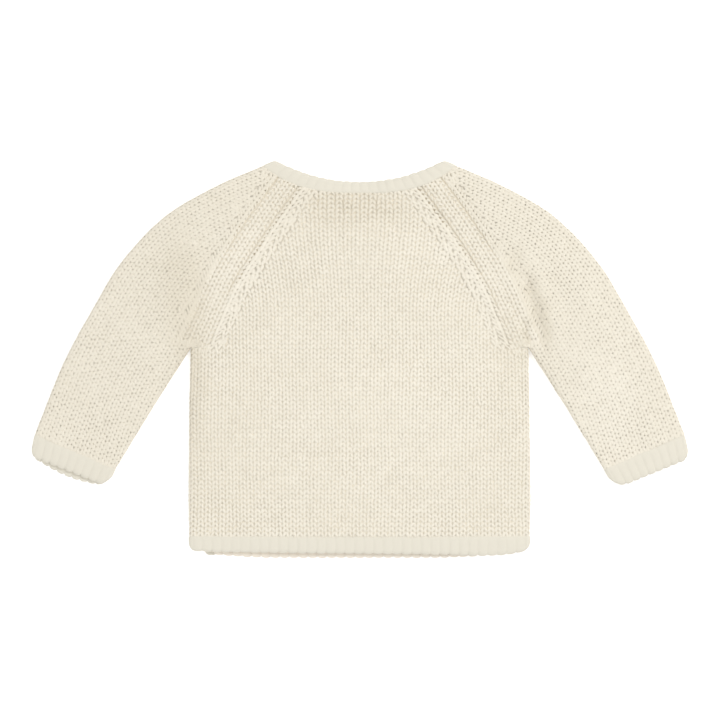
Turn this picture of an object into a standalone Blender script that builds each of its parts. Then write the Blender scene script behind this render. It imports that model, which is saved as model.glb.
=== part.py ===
"""Baby's raglan wrap cardigan in chunky stocking stitch, laid on its fronts with its back up.

+Y points to the neck, +Z up, and z = 0 is the surface that it lies on. The origin is under the
middle of the outline. Distances across ("out") are measured from the centre line, and a side of
-1 or 1 (left or right, as laid) turns them into x. All sizes are in metres.
"""

import math
from collections import namedtuple

import bmesh
import bpy
import numpy as np

# Cloth
CLOTH = 0.0026  # thickness of the knit
LAYER_GAP = 0.0006  # air between two layers that lie on each other
SEAM_GAP = 0.0003  # between two pieces at a seam
STEP = CLOTH + LAYER_GAP  # height that one more layer adds
PAIR = 2.0 * CLOTH + LAYER_GAP  # height of two layers
RAMP = 0.038  # length over which a layer sinks past the edge of the one below
FOLD_ANGLES = (90.0, 58.0, 28.0, 0.0)  # where faces meet round a fold, 90 on its outermost line

# Sleeve, one row for each section from the neck to the cuff seam: the place of its shoulder fold
# and of its other edge, which is the raglan seam down to the underarm and the lower fold below it
SLEEVE_SECTIONS = (
    # fold_out, fold_y, edge_out, edge_y
    (0.0740, 0.1482, 0.0545, 0.1361),
    (0.1120, 0.1315, 0.0828, 0.0966),
    (0.1503, 0.1085, 0.1043, 0.0617),
    (0.1825, 0.0744, 0.1197, 0.0284),
    (0.2033, 0.0407, 0.1296, 0.0084),
    (0.2266, -0.0023, 0.1584, -0.0372),
    (0.2489, -0.0575, 0.1875, -0.0848),
)
UNDERARM_ROW = 4  # the row of the table that ends at the underarm
CAP_ROWS = 11  # rows of faces from the neck to the underarm
ARM_ROWS = 8  # rows of faces from the underarm to the cuff
UPPER_COLUMNS = 11  # columns of faces in a sleeve's upper layer
UNDER_COLUMNS = 5  # and in its under layer
SLEEVE_CROWN = 0.0016  # how far the upper layer stands up in the middle of a sleeve

# Body, one row for each height: half of the width between the side folds
BODY_SIDES = (
    # y, half_width
    (-0.1358, 0.1305),
    (-0.1070, 0.1312),
    (-0.0350, 0.1303),
    (0.0084, 0.1296),
)
HEM_SEAM_Y = BODY_SIDES[0][0]
BODY_ROWS = 12  # rows of faces from the hem to the underarm
BACK_COLUMNS = 22  # columns of faces across the flat of the back
FRONT_COLUMNS = 16  # and of a front
BACK_CROWN = 0.0008  # how far the back stands up in its middle

# Neck, seen from above: the seam under the neckband and the band's free edge are two scoops
Scoop = namedtuple("Scoop", "half_width centre_y rise power")
NECK_SEAM = Scoop(0.0740, 0.1277, 0.0205, 2.9)
NECK_EDGE = Scoop(0.0644, 0.1361, 0.0162, 2.1)

# Wrap: how far past the centre line each front reaches, and where its edge stops slanting
WRAP_REACH = {1: 0.1197, -1: 0.1080}
WRAP_CORNER_Y = -0.030
WRAP_SOFTNESS = 0.006  # rounds the corner between the slant and the upright edge
WRAP_BAND_WIDTH = 0.0080
WRAP_BAND_CORNER = ((0.0040, 0.97), (0.0010, 0.86), (0.0, 0.66))  # height over end, width share
FRONT_TOP_Y = 0.1340  # just below the point where a front's slant meets the raglan seam

# Bands of plump loops at the hem, the cuffs and the neck
LOOP_WIDTH = 0.0072  # from one groove to the next
LOOP_RISE = 0.0007  # how far a loop stands over the grooves beside it
LOOP_SCALLOP = 0.05  # share of the depth by which a groove draws the free edge in
HEM_DEPTH = 0.0107
INNER_HEM_ROWS = 8  # the inner front's hem lies hidden, without loops
CORNER_SHARE = 0.52  # share of a hem's depth that is left at a fold, for a rounded corner

# Depth of the back's hem, and of the outer front's, which shows as a lens past the back's
BACK_HEM = (
    # x, depth
    (-0.1305, 0.0110),
    (-0.1100, 0.0121),
    (-0.0400, 0.0129),
    (0.0300, 0.0136),
    (0.0700, 0.0141),
    (0.0920, 0.0149),
    (0.1060, 0.0148),
    (0.1160, 0.0137),
    (0.1240, 0.0120),
    (0.1305, 0.0110),
)
OUTER_HEM = (
    # x, depth
    (-0.1117, 0.0146),
    (-0.1000, 0.0157),
    (-0.0850, 0.0165),
    (-0.0650, 0.0171),
    (0.0600, 0.0171),
    (0.0780, 0.0165),
    (0.0920, 0.0155),
    (0.1060, 0.0151),
    (0.1160, 0.0139),
    (0.1240, 0.0121),
    (0.1305, 0.0110),
)

# Free edge of each cuff, as the place of its two folds, fold_out, fold_y, edge_out, edge_y
CUFF_END = {-1: (0.2525, -0.0747, 0.1937, -0.0980), 1: (0.2530, -0.0765, 0.1962, -0.0998)}
CUFF_BELLY = {-1: 0.0042, 1: 0.0}  # how far the under layer hangs out past the upper one
UNDER_CUFF_COLUMNS = 8

# Rounded corners of each cuff, at the shoulder fold and at the other one: how far the free edge
# draws back there and the length beside the fold over which it does so, as most, reach
CUFF_CORNERS = {
    -1: ((0.0035, 0.0045), (0.0076, 0.0100)),
    1: ((0.0045, 0.0055), (0.0088, 0.0125)),
}

# A band's section from its seam round the free edge to the inside of the seam. Each row gives a
# share of the band's depth, a share of its thickness and a share of the loops' rise
BAND_SECTION = (
    # down, thick, rise
    (0.00, 1.00, 0.0),
    (0.22, 1.00, 1.0),
    (0.70, 1.00, 1.0),
    (0.93, 0.86, 0.5),
    (1.00, 0.45, 0.0),
    (0.94, 0.00, 0.0),
    (0.00, 0.00, 0.0),
)
# A front's hem, whose loops stand up only where they show past the hem of the back
PEEP_SECTION = (
    (0.00, 1.00, 0.0),
    (0.70, 1.00, 0.0),
    (0.82, 1.00, 1.0),
    (0.94, 0.90, 0.7),
    (1.00, 0.45, 0.0),
    (0.95, 0.00, 0.0),
    (0.00, 0.00, 0.0),
)

# Soft troughs in the sleeves' upper layers
TROUGHS = (
    # x1, y1, x2, y2, half_width, depth
    (0.119, 0.078, 0.146, 0.016, 0.0075, 0.0013),
    (-0.110, 0.104, -0.130, 0.030, 0.0095, 0.0010),
)

CREAM = (0.84, 0.79, 0.66)
BAND_CREAM = (0.85, 0.80, 0.68)

# A fold seen in section: a plan point on the outline, the way in from it, and the lowest and
# highest level of the two layers that meet there
Fold = namedtuple("Fold", "edge inward low high")


# ---- Plan: outlines and curves seen from above ----


def smooth(share):
    """A step from 0 to 1 with soft ends."""
    t = min(max(share, 0.0), 1.0)
    return t * t * (3.0 - 2.0 * t)


def along_table(table, place):
    """A smooth curve through a table's rows, at a row number that may be a fraction."""
    rows = np.array(table)
    last = len(rows) - 1
    first = min(int(place), last - 1)
    start, end = rows[first], rows[first + 1]
    slope_in = (end - rows[first - 1]) / 2.0 if first else end - start
    slope_out = (rows[first + 2] - start) / 2.0 if first + 2 <= last else end - start
    t = place - first
    return (
        (2 * t**3 - 3 * t**2 + 1) * start
        + (t**3 - 2 * t**2 + t) * slope_in
        + (3 * t**2 - 2 * t**3) * end
        + (t**3 - t**2) * slope_out
    )


def sleeve_section(share):
    """Shoulder fold and other edge of a sleeve's section, 0 at the neck, 1 at the underarm."""
    fold_out, fold_y, edge_out, edge_y = along_table(SLEEVE_SECTIONS, share * UNDERARM_ROW)
    return np.array((fold_out, fold_y)), np.array((edge_out, edge_y))


def raglan(share):
    """A plan point of the raglan seam, 0 at the neck and 1 at the underarm."""
    return sleeve_section(share)[1]


def half_width(y):
    """Half of the body's width at a height below the underarm."""
    heights, widths = zip(*BODY_SIDES)
    return float(np.interp(y, heights, widths))


def hem_depth(table, x):
    """Depth of a hem at x."""
    return float(np.interp(x, *zip(*table)))


def scoop_y(scoop, x):
    """Height of a neck scoop at x."""
    return scoop.centre_y + scoop.rise * (abs(x) / scoop.half_width) ** scoop.power


def wrap_seam(y, side):
    """How far past the centre line the seam of a front with its edge band lies."""
    reach = WRAP_REACH[side] - WRAP_BAND_WIDTH
    top_out, top_y = raglan(0.0)
    slope = (top_out + reach) / (top_y - WRAP_CORNER_Y)
    slant = (top_y - y) * slope - top_out
    soft = WRAP_SOFTNESS
    return float(-soft * np.logaddexp(-slant / soft, -reach / soft))


def wrap_stretch(y, side):
    """Length along that seam for each unit of height."""
    small = 0.001
    lean = (wrap_seam(y - small, side) - wrap_seam(y + small, side)) / (2.0 * small)
    return math.hypot(1.0, lean)


# ---- Levels: how high each layer lies ----


def cover(x, y, side):
    """1 where a front lies, sinking to 0 past its free edge."""
    past = (-side * x - wrap_seam(y, side)) / wrap_stretch(y, side) - WRAP_BAND_WIDTH
    return 1.0 - smooth(past / RAMP)


def surface_floor(x, y):
    """Underside of what lies on the surface: the outer front and the sleeves' under layers."""
    return 0.0


def inner_floor(x, y):
    """Underside of the inner front, which lies on the outer one."""
    return STEP * cover(x, y, 1)


def top_floor(x, y):
    """Underside of the uppermost layer, which lies on both fronts."""
    return STEP * (cover(x, y, 1) + cover(x, y, -1))


FRONT_FLOOR = {1: surface_floor, -1: inner_floor}


def arch(share, height):
    """A soft rise over a span, share from 0 to 1."""
    return height * math.sin(math.pi * share)


def trough(x, y):
    """How far the troughs lower a sleeve's upper layer at a point."""
    depth = 0.0
    for x1, y1, x2, y2, half, most in TROUGHS:
        length = math.hypot(x2 - x1, y2 - y1)
        ahead = ((x - x1) * (x2 - x1) + (y - y1) * (y2 - y1)) / length**2
        aside = ((x - x1) * (y2 - y1) - (y - y1) * (x2 - x1)) / length
        ends = smooth(4.0 * ahead) * smooth(4.0 - 4.0 * ahead)
        depth += most * ends * math.exp(-((aside / half) ** 2))
    return depth


# ---- Walls: each point of a wall is a pair, on its outer and its inner face ----


def flat_pair(x, y, floor, upper, lift=0.0):
    """A wall's pair where it lies flat. The outer face is on top only in the upper layer."""
    base = floor(x, y) + lift
    top, bottom = (x, y, base + CLOTH), (x, y, base)
    return (top, bottom) if upper else (bottom, top)


def folded_pair(fold, angle, upper):
    """A wall's pair where it turns round a fold to meet the other layer at mid height."""
    half = (fold.high - fold.low) / 2.0
    middle = (fold.high + fold.low) / 2.0
    turn = math.radians(angle)
    pair = []
    for setback, radius in ((0.0, half), (CLOTH, half - CLOTH)):
        x, y = fold.edge + fold.inward * (setback + radius * (1.0 - math.sin(turn)))
        rise = max(radius * math.cos(turn), SEAM_GAP / 2.0)
        pair.append((x, y, middle + rise if upper else middle - rise))
    return tuple(pair)


def edge_pairs(fold, folded, floor, upper):
    """A wall's last pairs at an edge, outermost first, folded over or flat up to a seam."""
    if folded:
        return [folded_pair(fold, angle, upper) for angle in FOLD_ANGLES]
    half = (fold.high - fold.low) / 2.0
    pairs = []
    for angle in FOLD_ANGLES:
        inset = SEAM_GAP / 2.0 + half * (1.0 - math.sin(math.radians(angle)))
        x, y = fold.edge + fold.inward * inset
        pairs.append(flat_pair(x, y, floor, upper))
    return pairs


def finish_object(name, bm, colour):
    """Turns a bmesh into a named object with its own material, in the cardigan's collection."""
    bmesh.ops.recalc_face_normals(bm, faces=bm.faces)
    mesh = bpy.data.meshes.new(name)
    bm.to_mesh(mesh)
    bm.free()
    mesh.shade_smooth()
    mesh.set_sharp_from_angle(angle=math.radians(50.0))
    material = bpy.data.materials.new(name + "_knit")
    material.use_nodes = True
    shader = material.node_tree.nodes["Principled BSDF"]
    shader.inputs["Base Color"].default_value = (*colour, 1.0)
    shader.inputs["Roughness"].default_value = 0.9
    shader.inputs["Metallic"].default_value = 0.0
    mesh.materials.append(material)
    piece = bpy.data.objects.new(name, mesh)
    bpy.data.collections["wrap_cardigan"].objects.link(piece)


def cloth_wall(name, rows, closed_after=None):
    """A wall lofted through rows of pairs. Rows past closed_after join up into a tube."""
    columns = len(rows[0])
    count = columns * len(rows)
    faces = []
    for row in range(len(rows) - 1):
        closed = closed_after is not None and row >= closed_after
        for column in range(columns if closed else columns - 1):
            a = row * columns + column
            b = row * columns + (column + 1) % columns
            faces.append((a, b, b + columns, a + columns))
    bm = bmesh.new()
    verts = [bm.verts.new(pair[face]) for face in (0, 1) for row in rows for pair in row]
    for face in faces:
        bm.faces.new([verts[i] for i in face])
        bm.faces.new([verts[i + count] for i in reversed(face)])
    edges = [(face[i], face[(i + 1) % 4]) for face in faces for i in range(4)]
    paired = set(edges)
    for a, b in edges:
        if (b, a) not in paired:  # an open edge of the cloth, closed by a rim
            bm.faces.new([verts[i] for i in (b, a, a + count, b + count)])
    finish_object(name, bm, CREAM)


def ring_band(name, rings, closed=False):
    """A band lofted through rings of points, closed on itself or capped at both ends."""
    bm = bmesh.new()
    loops = [[bm.verts.new(point) for point in ring] for ring in rings]
    neighbours = list(zip(loops, loops[1:]))
    if closed:
        neighbours.append((loops[-1], loops[0]))
    else:
        bm.faces.new(loops[0])
        bm.faces.new(loops[-1])
    around = len(loops[0])
    for here, there in neighbours:
        for i in range(around):
            j = (i + 1) % around
            bm.faces.new((here[i], here[j], there[j], there[i]))
    finish_object(name, bm, BAND_CREAM)


# ---- Body ----


def side_fold(y, side):
    """The body's fold at one side, at a height below the underarm."""
    out = half_width(y)
    flat_x = side * (out - STEP)
    low = FRONT_FLOOR[side](flat_x, y)
    high = top_floor(flat_x, y) + CLOTH
    return Fold(np.array((side * out, y)), np.array((-side, 0.0)), low, high)


def raglan_edge(share, side):
    """The body's edge at the raglan seam, where it stays flat."""
    out, y = raglan(share)
    return Fold(np.array((side * out, y)), np.array((-side, 0.0)), 0.0, PAIR)


def body_rows():
    """Rows of the body from the hem up: heights to the underarm, then shares of the raglan."""
    start = HEM_SEAM_Y + SEAM_GAP / 2.0
    heights = np.linspace(start, raglan(1.0)[1], BODY_ROWS + 1)
    shares = np.linspace(1.0, 0.0, CAP_ROWS + 1)[1:]
    return [(y, None) for y in heights] + [(None, share) for share in shares]


def between(first, last, count):
    """Places between two ends, without the ends."""
    return np.linspace(first, last, count + 1)[1:-1]


def scooped_row(row, share):
    """Bends a row of the back towards the neck's scoop, by 0 to 1."""
    top_out = raglan(0.0)[0]
    half = abs(row[0][0][0])

    def bend(point):
        x, y, z = point
        rise = scoop_y(NECK_SEAM, x / half * top_out) - scoop_y(NECK_SEAM, top_out)
        return (x, y + share * (rise - SEAM_GAP / 2.0), z)

    return [(bend(outer), bend(inner)) for outer, inner in row]


def make_back():
    """Back: folded over at the sides, flat up to the raglan seams and scooped at the neck."""
    rows = []
    for height, share in body_rows():
        folded = share is None
        left, right = (side_fold(height, s) if folded else raglan_edge(share, s) for s in (-1, 1))
        y = left.edge[1]
        left_pairs = edge_pairs(left, folded, top_floor, True)
        right_pairs = edge_pairs(right, folded, top_floor, True)
        start, stop = left_pairs[-1][0][0], right_pairs[-1][0][0]
        scooped = 0.0 if folded else (1.0 - share) ** 3
        middle = []
        for x in between(start, stop, BACK_COLUMNS):
            lift = arch((x - start) / (stop - start), BACK_CROWN * (1.0 - scooped))
            middle.append(flat_pair(x, y, top_floor, True, lift))
        rows.append(scooped_row(left_pairs + middle + right_pairs[::-1], scooped))
    cloth_wall("back", rows)


def front_top_edge(side):
    """The narrow top of a front, on the raglan seam."""
    (low_out, low_y), (top_out, top_y) = raglan(1.0 / CAP_ROWS), raglan(0.0)
    out = np.interp(FRONT_TOP_Y, (low_y, top_y), (low_out, top_out))
    stop = -wrap_seam(FRONT_TOP_Y, side)
    high = 0.6 * (out - stop)
    return Fold(np.array((side * out, FRONT_TOP_Y)), np.array((-side, 0.0)), 0.0, high)


def make_front(name, side):
    """A front of the wrap, from its side fold or raglan seam across to its edge band."""
    floor = FRONT_FLOOR[side]
    rows = []
    for height, share in body_rows():
        folded = share is None
        if folded:
            fold = side_fold(height, side)
        else:
            fold = raglan_edge(share, side) if share else front_top_edge(side)
        y = fold.edge[1]
        row = edge_pairs(fold, folded, floor, False)
        start = row[-1][0][0]
        stop = -side * (wrap_seam(y, side) - SEAM_GAP / 2.0 * wrap_stretch(y, side))
        row += [flat_pair(x, y, floor, False) for x in np.linspace(start, stop, FRONT_COLUMNS)[1:]]
        rows.append(row)
    cloth_wall(name, rows)


# ---- Sleeves ----


def sleeve_ring(fold, edge, side, crown=0.0, closed=True, uppers=UPPER_COLUMNS,
                unders=UNDER_COLUMNS):
    """Pairs round a sleeve's section, from its other edge over the shoulder fold and back under.

    A closed section is folded at both ends. An open one has two flat edges at the raglan seam.
    """
    mirror = np.array((side, 1.0))
    fold, edge = fold * mirror, edge * mirror
    way = (edge - fold) / np.linalg.norm(edge - fold)
    shoulder = Fold(fold, way, 0.0, PAIR)
    other = Fold(edge, -way, 0.0, PAIR)
    start, stop = fold + way * PAIR / 2.0, edge - way * PAIR / 2.0

    def flat(share, upper):
        x, y = start + (stop - start) * share
        if not upper:
            return flat_pair(x, y, surface_floor, False)
        return flat_pair(x, y, top_floor, True, arch(share, crown - trough(x, y)))

    ring = edge_pairs(other, closed, top_floor, True)
    ring += [flat(share, True) for share in between(1.0, 0.0, uppers)]
    ring += edge_pairs(shoulder, True, top_floor, True)[::-1]
    ring += edge_pairs(shoulder, True, surface_floor, False)[1:]
    ring += [flat(share, False) for share in between(0.0, 1.0, unders)]
    ring += edge_pairs(other, closed, surface_floor, False)[::-1]
    return ring


def neck_row(row):
    """Puts a sleeve's first row on the seam under the neckband."""
    return [
        tuple((x, scoop_y(NECK_SEAM, x) - SEAM_GAP / 2.0, z) for x, _, z in pair) for pair in row
    ]


def make_sleeve(name, side):
    """A sleeve folded along the shoulder, open along the raglan seams, then a flat tube."""
    arm_share = (len(SLEEVE_SECTIONS) - 1) / UNDERARM_ROW
    shares = list(np.linspace(0.0, 1.0, CAP_ROWS + 1))
    shares += list(np.linspace(1.0, arm_share, ARM_ROWS + 1))[1:]
    rows = []
    for share in shares:
        fold, edge = sleeve_section(share)
        crown = SLEEVE_CROWN * smooth(share / 0.3) * smooth((arm_share - share) / 0.2)
        rows.append(sleeve_ring(fold, edge, side, crown, closed=share >= 1.0))
    rows[0] = neck_row(rows[0])
    cloth_wall(name, rows, closed_after=CAP_ROWS)


# ---- Bands ----


def band_ring(seam, free, loop, section=BAND_SECTION):
    """A ring of a band between its pairs at the seam and at the free edge. loop is 0 in a groove
    and 1 on a crest."""
    seam_outer, seam_inner, free_outer, free_inner = (np.array(p) for p in (*seam, *free))
    ring = []
    for down, thick, rise in section:
        if down > 0.9:
            down *= 1.0 - LOOP_SCALLOP * (1.0 - loop)
        outer = seam_outer + (free_outer - seam_outer) * down
        inner = seam_inner + (free_inner - seam_inner) * down
        normal = (outer - inner) / np.linalg.norm(outer - inner)
        ring.append(inner + (outer - inner) * thick + normal * (rise * loop * LOOP_RISE))
    return ring


def loop_places(start, stop):
    """Every groove and crest from start to stop, as pairs of a place and 0 or 1."""
    count = 2 * round(abs(stop - start) / LOOP_WIDTH)
    return [(start + (stop - start) * n / count, float(n % 2)) for n in range(count + 1)]


def corner_share(angle):
    """Share of a band's depth that is left where it turns round a fold."""
    return 1.0 - (1.0 - CORNER_SHARE) * (angle / 90.0) ** 2


def hem_ring(x, depth, floor, upper, loop, section=BAND_SECTION):
    """A ring of a hem band where it lies flat."""
    seam = flat_pair(x, HEM_SEAM_Y - SEAM_GAP / 2.0, floor, upper)
    free = flat_pair(x, HEM_SEAM_Y - depth, floor, upper)
    return band_ring(seam, free, loop, section)


def hem_corner(side, upper, section=BAND_SECTION):
    """Rings of a hem band round a side fold, outermost first, and the x where they end."""
    fold = side_fold(HEM_SEAM_Y, side)
    rings = []
    for angle in (90.0, 45.0):
        ends = []
        for depth in (0.0, HEM_DEPTH * corner_share(angle)):
            at = np.array((fold.edge[0], HEM_SEAM_Y - SEAM_GAP / 2.0 - depth))
            ends.append(folded_pair(fold._replace(edge=at), angle, upper))
        rings.append(band_ring(*(e if upper else e[::-1] for e in ends), 0.5, section))
    return rings, fold.edge[0] + fold.inward[0] * (fold.high - fold.low) / 2.0


def make_back_hem():
    """Hem band of the back, from side fold to side fold."""
    left, start = hem_corner(-1, True)
    right, stop = hem_corner(1, True)
    flat = []
    for x, loop in loop_places(start, stop):
        flat.append(hem_ring(x, hem_depth(BACK_HEM, x), top_floor, True, loop))
    ring_band("hem_back", left + flat + right[::-1])


def make_front_hem(name, side):
    """Hem band of a front, from its side fold to the band on its free edge."""
    rings, start = hem_corner(side, False, PEEP_SECTION)
    stop = -side * (wrap_seam(HEM_SEAM_Y, side) - SEAM_GAP / 2.0)
    floor = FRONT_FLOOR[side]
    if side > 0:
        places = loop_places(start, stop)
    else:
        places = [(x, 0.0) for x in np.linspace(start, stop, INNER_HEM_ROWS + 1)]
    for x, loop in places:
        depth = hem_depth(OUTER_HEM, x) if side > 0 else HEM_DEPTH
        rings.append(hem_ring(x, depth, floor, True, loop, PEEP_SECTION))
    ring_band(name, rings)


def make_cuff(name, side):
    """A cuff: a flat tube of loops, whose under layer may hang out past the upper one."""
    fold, edge = sleeve_section((len(SLEEVE_SECTIONS) - 1) / UNDERARM_ROW)
    width = np.linalg.norm(edge - fold)
    across = (edge - fold) / width
    down = np.array((-across[1], across[0]))
    mirror = np.array((side, 1.0))
    uppers = 2 * round(width / LOOP_WIDTH)
    counts = {"uppers": uppers, "unders": UNDER_CUFF_COLUMNS}
    seam = sleeve_ring(fold + down * SEAM_GAP, edge + down * SEAM_GAP, side, **counts)
    ends = sleeve_ring(np.array(CUFF_END[side][:2]), np.array(CUFF_END[side][2:]), side, **counts)
    turns = len(FOLD_ANGLES)
    upper_count = 2 * turns + uppers - 1
    angles = list(FOLD_ANGLES) + [0.0] * (uppers - 1) + list(FOLD_ANGLES[::-1])
    angles += list(FOLD_ANGLES[1:]) + [0.0] * (UNDER_CUFF_COLUMNS - 1) + list(FOLD_ANGLES[::-1])
    rings = []
    for n, (start, end, angle) in enumerate(zip(seam, ends, angles)):
        on_top = n < upper_count
        start, end = np.array(start), np.array(end)
        along = min(max(np.dot(start[0][:2] * mirror - fold, across), 0.0), width)
        cut = 0.0
        for past_fold, (most, reach) in zip((along, width - along), CUFF_CORNERS[side]):
            share = max(1.0 - past_fold / reach, 0.0)
            cut += most * (1.0 - math.sqrt(1.0 - share ** 2))
        belly = 0.0 if on_top else arch(along / width, CUFF_BELLY[side])
        end = start + (end - start) * (1.0 + (belly - cut) / np.linalg.norm(end[0] - start[0]))
        loop = float((n - turns + 1) % 2) if on_top and not angle else 0.3 * on_top
        rings.append(band_ring(start, end, loop))
    ring_band(name, rings, closed=True)


def neck_end(side, angle, upper):
    """Pairs at the seam and the free edge of a neck band where it turns round the shoulder."""
    ends = []
    for scoop, gap in ((NECK_SEAM, SEAM_GAP / 2.0), (NECK_EDGE, 0.0)):
        edge = np.array((side * scoop.half_width, 0.0))
        fold = Fold(edge, np.array((-side, 0.0)), 0.0, PAIR)
        pair = folded_pair(fold, angle, upper)
        ends.append(tuple((x, scoop_y(scoop, x) + gap, z) for x, _, z in pair))
    return ends


def make_neckband():
    """Band round the back of the neck, from one shoulder fold to the other."""
    left, right = ([band_ring(*neck_end(s, a, True), 0.5) for a in (90.0, 45.0)] for s in (-1, 1))
    flat_half = NECK_SEAM.half_width - STEP
    rings = []
    for x, loop in loop_places(-flat_half, flat_half):
        edge_x = x * NECK_EDGE.half_width / NECK_SEAM.half_width
        seam = flat_pair(x, scoop_y(NECK_SEAM, x) + SEAM_GAP / 2.0, top_floor, True)
        free = flat_pair(edge_x, scoop_y(NECK_EDGE, edge_x), top_floor, True)
        rings.append(band_ring(seam, free, loop))
    ring_band("neckband", left + rings + right[::-1])


def wrap_path(side):
    """Points of a front's band seam: round the neck's scoop, down the slant and to the hem."""
    top_out, top_y = raglan(0.0)
    scooped = []
    for out in np.linspace(NECK_SEAM.half_width - STEP, top_out, 4):
        scooped.append(np.array((side * out, scoop_y(NECK_SEAM, out) + SEAM_GAP / 2.0)))
    end_y = HEM_SEAM_Y - (OUTER_HEM[0][1] if side > 0 else HEM_DEPTH)
    corner_top, corner_end = WRAP_CORNER_Y + 0.018, WRAP_CORNER_Y - 0.018
    heights = [*np.linspace(top_y, corner_top, 13)[1:], *np.linspace(corner_top, corner_end, 6)[1:]]
    heights += [*np.linspace(corner_end, end_y, 8)[1:-1]]
    heights += [end_y + above for above, _ in WRAP_BAND_CORNER]
    return scooped + [np.array((-side * wrap_seam(y, side), y)) for y in heights]


def make_wrap_band(name, side):
    """Plain band down a front's free edge, from the shoulder fold to the hem."""
    floor = FRONT_FLOOR[side]
    path = wrap_path(side)
    widths = [1.0] * (len(path) - len(WRAP_BAND_CORNER)) + [w for _, w in WRAP_BAND_CORNER]
    neck_mitre = np.array((
        side * (NECK_EDGE.half_width - NECK_SEAM.half_width),
        scoop_y(NECK_EDGE, NECK_EDGE.half_width) - scoop_y(NECK_SEAM, NECK_SEAM.half_width),
    ))
    rings = [band_ring(*neck_end(side, angle, False), 0.0) for angle in (90.0, 45.0)]
    for n, (point, width) in enumerate(zip(path, widths)):
        ahead = path[min(n + 1, len(path) - 1)] - path[n - 1 if n else 0]
        across = np.array((ahead[1], -ahead[0])) * side / np.linalg.norm(ahead)
        seam = point + across * SEAM_GAP / 2.0
        turn = smooth(n / 5.0)
        free = point + neck_mitre * (1.0 - turn) + across * WRAP_BAND_WIDTH * width * turn
        rings.append(band_ring(*(flat_pair(*at, floor, False) for at in (seam, free)), 0.0))
    ring_band(name, rings)


def make_cardigan():
    """Clears the scene and makes every piece of the cardigan."""
    for old in list(bpy.data.objects):
        bpy.data.objects.remove(old, do_unlink=True)
    bpy.context.scene.collection.children.link(bpy.data.collections.new("wrap_cardigan"))
    make_back()
    make_back_hem()
    make_neckband()
    for side, word in ((-1, "left"), (1, "right")):
        make_front("front_" + word, side)
        make_front_hem("hem_front_" + word, side)
        make_wrap_band("wrap_band_" + word, side)
        make_sleeve("sleeve_" + word, side)
        make_cuff("cuff_" + word, side)


make_cardigan()
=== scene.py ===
# %% [markdown]
# # A baby's wrap cardigan in chunky cotton, laid flat with its back up
# The real garment has almost no form of its own: on a table it is two or three layers of cloth.
# What makes it look like a cardigan is the knit. So most of this lesson goes to the stitches,
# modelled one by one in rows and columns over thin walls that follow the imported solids.

# %% Load the frame
import math

import bmesh
import bpy
import numpy as np
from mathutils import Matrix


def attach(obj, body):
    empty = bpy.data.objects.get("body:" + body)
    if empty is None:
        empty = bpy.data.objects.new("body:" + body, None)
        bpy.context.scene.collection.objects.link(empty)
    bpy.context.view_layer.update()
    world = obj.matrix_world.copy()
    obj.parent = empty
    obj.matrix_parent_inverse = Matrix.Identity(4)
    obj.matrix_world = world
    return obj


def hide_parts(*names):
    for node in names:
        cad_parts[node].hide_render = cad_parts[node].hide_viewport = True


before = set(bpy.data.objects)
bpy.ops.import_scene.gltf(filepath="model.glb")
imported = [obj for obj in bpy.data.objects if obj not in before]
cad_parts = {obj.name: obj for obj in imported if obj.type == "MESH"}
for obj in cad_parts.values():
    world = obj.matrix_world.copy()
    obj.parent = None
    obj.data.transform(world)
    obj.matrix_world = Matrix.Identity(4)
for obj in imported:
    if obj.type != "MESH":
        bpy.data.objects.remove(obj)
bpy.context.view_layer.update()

print("solids:", sorted(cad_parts))

# %% [markdown]
# ## Measures of the cloth
# All the pieces are one knit, so a few thicknesses drive every height. The walls are sunk a
# little under the real surface, to leave the room that the stitches stand in. Distances "out"
# are measured from the centre line, and a side of -1 or 1 turns them into x.

# %% Thickness, layers and the knit's own grid
CLOTH = 0.0026
LAYER_GAP = 0.0006
HALF_SEAM = 0.00004  # half of the gap that a seam leaves
STEP = CLOTH + LAYER_GAP
PAIR = 2.0 * CLOTH + LAYER_GAP
SINK = 0.0010  # how far the walls lie under the surface that the stitches reach
WALE = 0.00541  # width of a column of stitches
COURSE = 0.00358  # height of a row of stitches
print("two layers are", round(PAIR * 1000, 1), "mm high")
print("stitches in 10 cm:", round(0.1 / WALE), "across and", round(0.1 / COURSE), "up")

# %% [markdown]
# ## Outlines seen from above
# A short table of sections gives each sleeve: where its shoulder fold and its other edge lie,
# from the neck to the cuff. A smooth curve through them is enough for the soft bend of the arm,
# and both sleeves share it, because the garment was laid out evenly.

# %% Sleeve sections and body sides
SIDE_WORDS = {-1: "left", 1: "right"}
SLEEVE_SECTIONS = 0.001 * np.array((
    # fold_out, fold_y, edge_out, edge_y, in millimetres
    (74, 148.2, 54.5, 136.1),
    (112, 131.5, 82.8, 96.6),
    (150.3, 108.5, 104.3, 61.7),
    (182.5, 74.4, 119.7, 28.4),
    (203.3, 40.7, 129.6, 8.4),
    (226.6, -2.3, 158.4, -37.2),
    (248.9, -57.5, 187.5, -84.8),
))
UNDERARM_ROW = 4
ARM_SHARE = (len(SLEEVE_SECTIONS) - 1) / UNDERARM_ROW
# y and half of the body's width, in millimetres
BODY_SIDES = 0.001 * np.array(((-135.8, 130.5), (-107, 131.2), (-35, 130.3), (8.4, 129.6)))
HEM_SEAM_Y = BODY_SIDES[0, 0]


def along(table, place):
    """A smooth curve through a table's rows, at row numbers with fractions."""
    place = np.asarray(place, float)
    first = np.clip(place.astype(int), 0, len(table) - 2)
    t = (place - first)[..., None]
    slope = np.gradient(table, axis=0)
    return (
        (2 * t**3 - 3 * t**2 + 1) * table[first]
        + (t**3 - 2 * t**2 + t) * slope[first]
        + (3 * t**2 - 2 * t**3) * table[first + 1]
        + (t**3 - t**2) * slope[first + 1]
    )


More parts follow.
